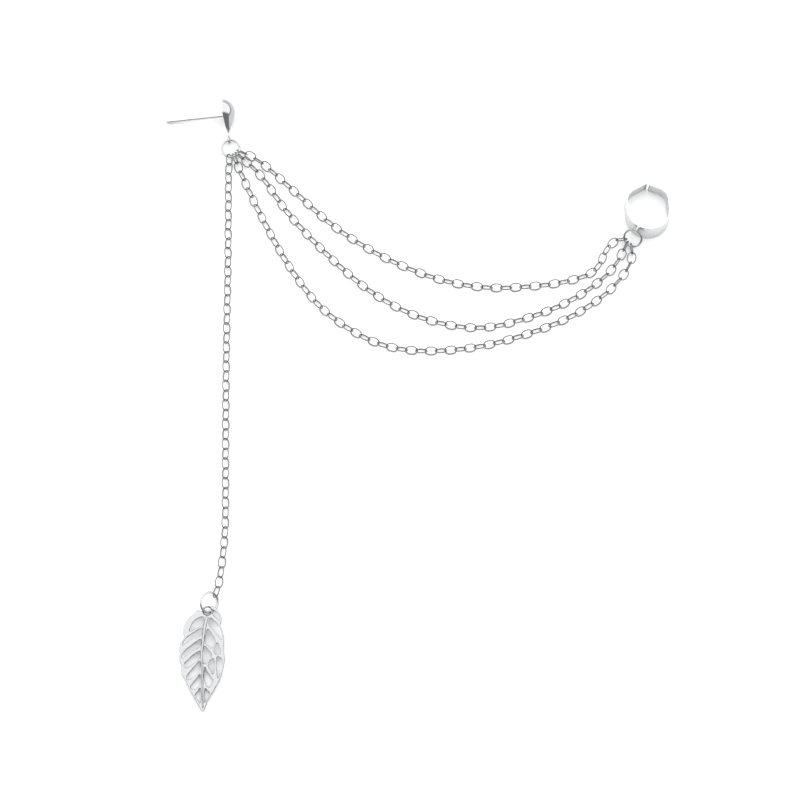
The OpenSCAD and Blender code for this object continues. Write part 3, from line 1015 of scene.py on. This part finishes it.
@dataclass
class LeafPendant:
    """The cast leaf: the CAD plate with its edges run soft, as those of a casting are."""

    node: str = "leaf_pendant"
    voxel: float = 0.06
    soften: int = 8  # passes of the smoothing
    soften_share: float = 0.5
    steep: tuple[float, float] = (0.3, 0.96)  # upright part of the normal: full painted shade, and none

    def build(self) -> None:
        """Copy the CAD mesh, weld it, and run it through a fine remesh and a smoothing."""
        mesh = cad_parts[self.node].data.copy()
        piece = put_in_scene("leaf_pendant_casting", mesh)
        weld(mesh)
        remesh = piece.modifiers.new("fine_skin", "REMESH")
        remesh.mode, remesh.voxel_size = "VOXEL", self.voxel * MM
        soft = piece.modifiers.new("soft_edges", "SMOOTH")
        soft.factor, soft.iterations = self.soften_share, self.soften
        shown = bpy.context.evaluated_depsgraph_get()
        baked = bpy.data.meshes.new_from_object(piece.evaluated_get(shown))
        piece.modifiers.clear()
        piece.data = baked
        baked.shade_smooth()
        # Painted shade: marks the walls that the cast metal darkens to near black
        self.mark_painted_shade(baked)
        dress(piece, Metal.CAST, "leaf_metal", self.node)

    def mark_painted_shade(self, mesh: bpy.types.Mesh) -> None:
        """Store where painted shade goes, by how steep the skin is at each point: 1 on a wall, 0
        on the plate's two faces.

        It grows evenly as the upright part of the normal falls from one bound to the other.

        Args:
            mesh: The leaf's mesh, which gets the attribute.
        """
        normals = np.zeros(len(mesh.vertices) * 3, np.float32)
        mesh.vertices.foreach_get("normal", normals)
        upward = np.abs(normals.reshape(-1, 3)[:, 2])
        low, high = self.steep
        share = np.clip((high - upward) / (high - low), 0, 1)
        painted_wall_shade = mesh.attributes.new(PAINTED_SHADE, "FLOAT", "POINT")
        painted_wall_shade.data.foreach_set("value", share.astype(np.float32))


# Studio


@dataclass
class Studio:
    """The pale floor, the soft light and the camera: lengths in millimetres, angles in degrees.

    The tent is dark below the first and bright above the second of each pair of angles: the
    front's are a direction's angle towards the north, the rim's its angle above the floor.
    """

    aim: tuple[float, float, float] = (-3.2, -0.5, 0.0)
    elevation: float = 77.0
    distance: float = 427.0
    lens: float = 98.2
    sensor: float = 36.0
    clip: tuple[float, float] = (10.0, 10000.0)
    floor_half: float = 2500
    floor_drop: float = 0.02
    floor_colour: str = "#F4F4F4"
    floor_roughness: float = 0.9
    tent_colour: str = "#FFFFFF"
    tent_light: float = 2.2
    dark_light: float = 0.35
    front_angles: tuple[float, float] = (-32.0, -12.0)
    rim_angles: tuple[float, float] = (4.0, 16.0)

    def camera(self) -> None:
        """Stand the camera south of the aim, raised by its elevation."""
        data = bpy.data.cameras.new("camera")
        data.lens, data.sensor_width = self.lens, self.sensor
        data.clip_start, data.clip_end = (bound * MM for bound in self.clip)
        made = put_in_scene("camera", data)
        up = math.radians(self.elevation)
        aim = Vector(self.aim) * MM
        made.location = aim + Vector((0, -math.cos(up), math.sin(up))) * self.distance * MM
        made.rotation_euler = (aim - made.location).to_track_quat("-Z", "Y").to_euler()
        bpy.context.scene.camera = made

    def floor(self) -> None:
        """Lay the matt white floor just under the earring."""
        ways = np.array([[-1, -1], [1, -1], [1, 1], [-1, 1]])
        points = np.column_stack([ways * self.floor_half, np.full(len(ways), -self.floor_drop)])
        mesh = bpy.data.meshes.new("floor")
        mesh.from_pydata((points * MM).tolist(), [], [(0, 1, 2, 3)])
        made = put_in_scene("floor", mesh)
        paint = bpy.data.materials.new("matt_white_paper")
        paint.use_nodes = True
        tree = paint.node_tree
        tree.nodes.clear()
        settings = {
            "Base Color": to_linear(self.floor_colour),
            "Roughness": self.floor_roughness,
        }
        body = add_node(tree, "BsdfPrincipled", settings, {})
        add_node(tree, "OutputMaterial", {}, {"Surface": body.outputs["BSDF"]})
        mesh.materials.append(paint)

    def lights(self) -> None:
        """Light the scene like a light tent with an open front and a dark gap at its foot.

        The world's light is the product of two smooth steps: one of the direction's northward
        part, which is dark towards the camera's side, and one of its upward part, which is dark
        just over the floor.
        """
        world = bpy.data.worlds.new("light_tent")
        world.use_nodes = True
        tree = world.node_tree
        tree.nodes.clear()
        way = add_node(tree, "TexCoord", {}, {}).outputs["Generated"]
        parts = add_node(tree, "SeparateXYZ", {}, {"Vector": way})
        steps = []
        for axis, angles in (("Y", self.front_angles), ("Z", self.rim_angles)):
            low, high = (math.sin(math.radians(angle)) for angle in angles)
            settings = {"interpolation_type": "SMOOTHSTEP", "From Min": low, "From Max": high}
            steps.append(add_node(tree, "MapRange", settings, {"Value": parts.outputs[axis]}))
        both = add_node(tree, "Math", {"operation": "MULTIPLY"}, {})
        for step, socket in zip(steps, both.inputs):
            tree.links.new(step.outputs["Result"], socket)
        strength = add_node(
            tree,
            "MapRange",
            {"To Min": self.dark_light, "To Max": self.tent_light},
            {"Value": both.outputs["Value"]},
        )
        glow = add_node(
            tree,
            "Background",
            {"Color": to_linear(self.tent_colour)},
            {"Strength": strength.outputs["Result"]},
        )
        add_node(tree, "OutputWorld", {}, {"Surface": glow.outputs["Background"]})
        bpy.context.scene.world = world

    def build(self) -> None:
        """Set up the camera, the floor, the lights and a plain display of colours."""
        self.camera()
        self.floor()
        self.lights()
        bpy.context.scene.view_settings.view_transform = "Standard"
        LOG.info("studio: camera at %s degrees, %s mm away", self.elevation, self.distance)


# Main


def main() -> None:
    """Build the earring in order, from the stud to the cuff, and the studio round it."""
    logging.basicConfig(level=logging.INFO, format="%(name)s %(message)s")
    Studio().build()
    EarStud().build()
    JumpRing("stud_ring", outer=4.0, angles=(0, 0, 0), cut_at=8).build()
    CableChain("drop_chain").build()
    JumpRing("leaf_ring", outer=4.3, angles=(0, 40, -18), cut_at=12).build()
    LeafPendant().build()
    for name in ("swag_chain_top", "swag_chain_middle", "swag_chain_bottom"):
        CableChain(name).build()
    JumpRing("cuff_ring", outer=4.0, angles=(42, 0, -31), cut_at=110).build()
    EarCuff().build()


if __name__ == "__main__":
    main()
